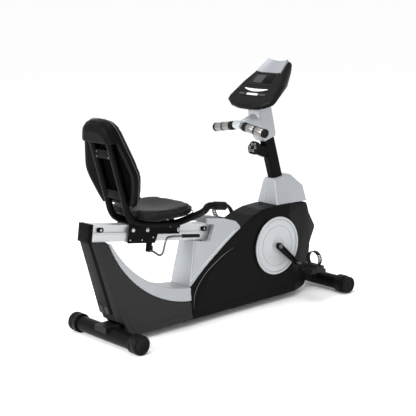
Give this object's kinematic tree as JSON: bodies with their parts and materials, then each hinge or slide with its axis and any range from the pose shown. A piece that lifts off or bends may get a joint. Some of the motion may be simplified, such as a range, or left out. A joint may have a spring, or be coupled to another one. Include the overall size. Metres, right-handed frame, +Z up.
{
  "type": "recumbent exercise bike",
  "caption": "Recumbent exercise bike: sliding seat with backrest and side grips on a sloping rail, step-through casing, strapped pedals, and a mast with handlebar and console.",
  "frame": {"origin": "centre of the bike's bounding box in X and Y, on the floor (z = 0)", "axes": "+X forward, the way the seated rider faces, +Y to the rider's left, +Z up"},
  "size_m": [1.6314, 0.7298, 1.279],
  "materials": {
    "frame_black": "satin black powder coat",
    "frame_grey": "satin dark grey powder coat",
    "rail_aluminium": "bright anodised extrusion",
    "silver_plastic": "satin silver paint on moulded plastic",
    "casing_black": "fine moulded texture",
    "trim_black": "moulded satin",
    "disc_silver": "satin silver",
    "bar_silver": "satin silver powder coat",
    "sensor_steel": "brushed",
    "bolt_steel": "bright plated",
    "drive_steel": "turned",
    "iron": "machined cast iron",
    "rubber_black": "matt",
    "roller_nylon": "smooth",
    "screen": "gloss dark window",
    "key_light": "satin light grey",
    "key_grey": "satin grey",
    "vinyl_black": "grained black vinyl",
    "felt": "felt",
    "pedal_black": "moulded"
  },
  "bodies": {
    "frame": {"base_beam": "frame_grey", "rail_posts": "frame_grey", "front_post": "frame_grey", "foot_tubes": "frame_black", "rear_foot_caps": "trim_black", "front_foot_caps": "trim_black", "seat_rail": "rail_aluminium", "rail_rear_cap": "trim_black", "rail_end_stops": "rubber_black", "rear_casing_right": "casing_black", "rear_casing_left": "casing_black", "silver_arch": "silver_plastic", "silver_panel_right": "silver_plastic", "silver_panel_left": "silver_plastic", "front_casing_right": "casing_black", "front_casing_left": "casing_black", "neck_cover": "silver_plastic", "mast": "frame_black", "crank_bearings": "drive_steel", "drive_belt": "rubber_black", "flywheel_bracket": "frame_grey", "brake_motor": "trim_black"},
    "carriage": {"seat_carriage": "frame_black", "carriage_bolts": "bolt_steel", "seat_frame": "frame_black", "seat_pan": "trim_black", "seat_cushion": "vinyl_black", "back_shell": "trim_black", "back_cushion": "vinyl_black", "seat_grips": "rubber_black"},
    "front_rollers": {"rollers_front": "roller_nylon"},
    "rear_rollers": {"rollers_rear": "roller_nylon"},
    "lever": {"seat_lever": "frame_black"},
    "upper_mast": {"inner_mast": "bar_silver", "mast_top_cover": "silver_plastic", "handlebar": "bar_silver", "pulse_plates": "sensor_steel", "grip_rings": "rubber_black", "console_back": "trim_black", "console_front": "casing_black", "console_shelf": "silver_plastic", "console_screen": "screen"},
    "knob": {"mast_knob": "trim_black"},
    "start_button": {"start_key": "key_light"},
    "left_button": {"left_key": "key_grey"},
    "right_button": {"right_key": "key_grey"},
    "crank": {"crank_axle": "drive_steel", "drive_pulley": "roller_nylon", "crank_arm_right": "frame_black", "crank_arm_left": "frame_black", "crank_covers": "disc_silver"},
    "right_pedal": {"pedal_right": "pedal_black", "pedal_strap_right": "rubber_black"},
    "left_pedal": {"pedal_left": "pedal_black", "pedal_strap_left": "rubber_black"},
    "flywheel": {"flywheel": "iron"},
    "idler": {"idler_pulley": "roller_nylon"},
    "shoe": {"brake_shoe": "felt"},
    "right_wheel": {"transport_wheel_right": "rubber_black"},
    "left_wheel": {"transport_wheel_left": "rubber_black"}
  },
  "joints": [
    {"name": "seat_slide", "type": "slide", "parent": "frame", "child": "carriage", "axis": [0.9885, 0, -0.1513], "range_m": [-0.11, 0.1]},
    {"name": "front_rollers_spin", "type": "hinge", "parent": "carriage", "child": "front_rollers", "pos_m": [-0.27075, 0, 0.49949], "axis": [0, 1, 0], "range_deg": [-540, 450]},
    {"name": "rear_rollers_spin", "type": "hinge", "parent": "carriage", "child": "rear_rollers", "pos_m": [-0.55148, 0, 0.54244], "axis": [0, 1, 0], "range_deg": [-540, 450]},
    {"name": "lever_lift", "type": "hinge", "parent": "carriage", "child": "lever", "pos_m": [-0.43749, -0.018, 0.42131], "axis": [0, -1, 0], "range_deg": [0, 10], "stiffness_Nm_per_rad": 8, "springref_deg": -17.19},
    {"name": "mast_slide", "type": "slide", "parent": "frame", "child": "upper_mast", "axis": [-0.2756, 0, 0.9613], "range_m": [0, 0.06]},
    {"name": "knob_turn", "type": "hinge", "parent": "frame", "child": "knob", "pos_m": [0.3157, 0, 0.831], "axis": [-0.9397, 0, 0.342], "continuous": true},
    {"name": "start_press", "type": "slide", "parent": "upper_mast", "child": "start_button", "axis": [0.6428, 0, -0.766], "range_m": [0, 0.0015], "stiffness_N_per_m": 400},
    {"name": "left_press", "type": "slide", "parent": "upper_mast", "child": "left_button", "axis": [0.6428, 0, -0.766], "range_m": [0, 0.0015], "stiffness_N_per_m": 400},
    {"name": "right_press", "type": "slide", "parent": "upper_mast", "child": "right_button", "axis": [0.6428, 0, -0.766], "range_m": [0, 0.0015], "stiffness_N_per_m": 400},
    {"name": "crank_turn", "type": "hinge", "parent": "frame", "child": "crank", "pos_m": [0.3717, 0, 0.313], "axis": [0, 1, 0], "continuous": true},
    {"name": "right_pedal_turn", "type": "hinge", "parent": "crank", "child": "right_pedal", "pos_m": [0.50151, -0.22, 0.20016], "axis": [0, 1, 0], "continuous": true},
    {"name": "left_pedal_turn", "type": "hinge", "parent": "crank", "child": "left_pedal", "pos_m": [0.24189, 0.22, 0.42584], "axis": [0, 1, 0], "continuous": true},
    {"name": "flywheel_spin", "type": "hinge", "parent": "frame", "child": "flywheel", "pos_m": [0.5827, 0, 0.28], "axis": [0, 1, 0], "continuous": true},
    {"name": "idler_spin", "type": "hinge", "parent": "frame", "child": "idler", "pos_m": [0.51741, 0.05, 0.2115], "axis": [0, 1, 0], "continuous": true},
    {"name": "shoe_swing", "type": "hinge", "parent": "frame", "child": "shoe", "pos_m": [0.4947, 0, 0.238], "axis": [0, -1, 0], "range_deg": [0, 2]},
    {"name": "right_wheel_spin", "type": "hinge", "parent": "frame", "child": "right_wheel", "pos_m": [0.7677, -0.245, 0.048], "axis": [0, 1, 0], "continuous": true},
    {"name": "left_wheel_spin", "type": "hinge", "parent": "frame", "child": "left_wheel", "pos_m": [0.7677, 0.245, 0.048], "axis": [0, 1, 0], "continuous": true}
  ],
  "couplings": [
    {"joint": "front_rollers_spin", "follows": "seat_slide", "rad_per_m": 76.923},
    {"joint": "rear_rollers_spin", "follows": "seat_slide", "rad_per_m": 76.923},
    {"joint": "flywheel_spin", "follows": "crank_turn", "ratio": 4.2143},
    {"joint": "idler_spin", "follows": "crank_turn", "ratio": -7.375}
  ]
}
